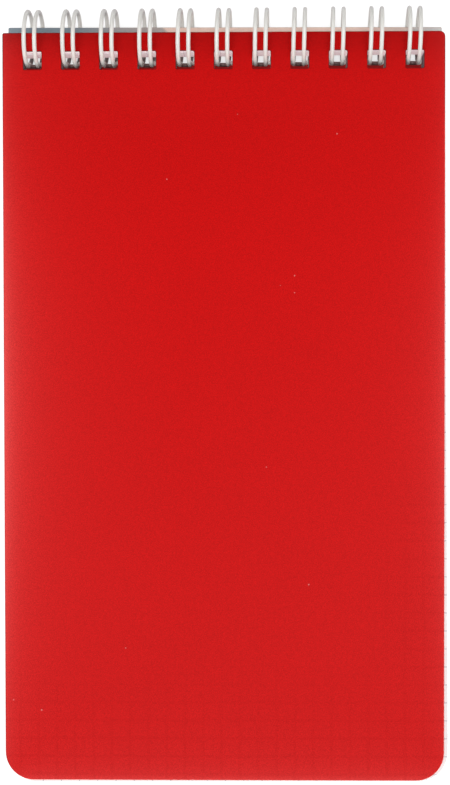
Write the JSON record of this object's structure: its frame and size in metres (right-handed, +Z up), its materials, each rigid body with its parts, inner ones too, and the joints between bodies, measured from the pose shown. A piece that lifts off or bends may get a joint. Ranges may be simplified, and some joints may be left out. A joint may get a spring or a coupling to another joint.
{
  "type": "reporter notebook",
  "caption": "Top-bound pad of squared leaves on a twin-loop wire, with a frosted plastic front cover and a card back that turn over the top.",
  "frame": {"origin": "on the table, below the middle of the closed notebook's footprint", "axes": "+Z up with the front cover on top, +Y towards the bound edge and its wire, +X to the right of a reader"},
  "size_m": [0.0994, 0.1726, 0.013],
  "materials": {
    "cover_plastic": "red frosted see-through polypropylene sheet",
    "paper": "white writing paper with pale grey 4 mm squares",
    "card": "thin card with plain printed colour fields on its face",
    "coated_wire": "steel wire with a white nylon coating"
  },
  "bodies": {
    "back_cover": {"back_cover": "card"},
    "wire_spine": {"wire_spine": "coated_wire"},
    "pages": {"pages": "paper"},
    "front_cover": {"front_cover": "cover_plastic"}
  },
  "joints": [
    {"name": "back_cover_hinge", "type": "hinge", "parent": "back_cover", "child": "wire_spine", "pos_m": [0, 0.07983, 0.00651], "axis": [-1, 0, 0], "range_deg": [0, 180]},
    {"name": "pages_hinge", "type": "hinge", "parent": "wire_spine", "child": "pages", "pos_m": [0, 0.07983, 0.00651], "axis": [-1, 0, 0], "range_deg": [0, 180]},
    {"name": "front_cover_hinge", "type": "hinge", "parent": "pages", "child": "front_cover", "pos_m": [0, 0.07983, 0.00616], "axis": [-1, 0, 0], "range_deg": [0, 180]}
  ]
}
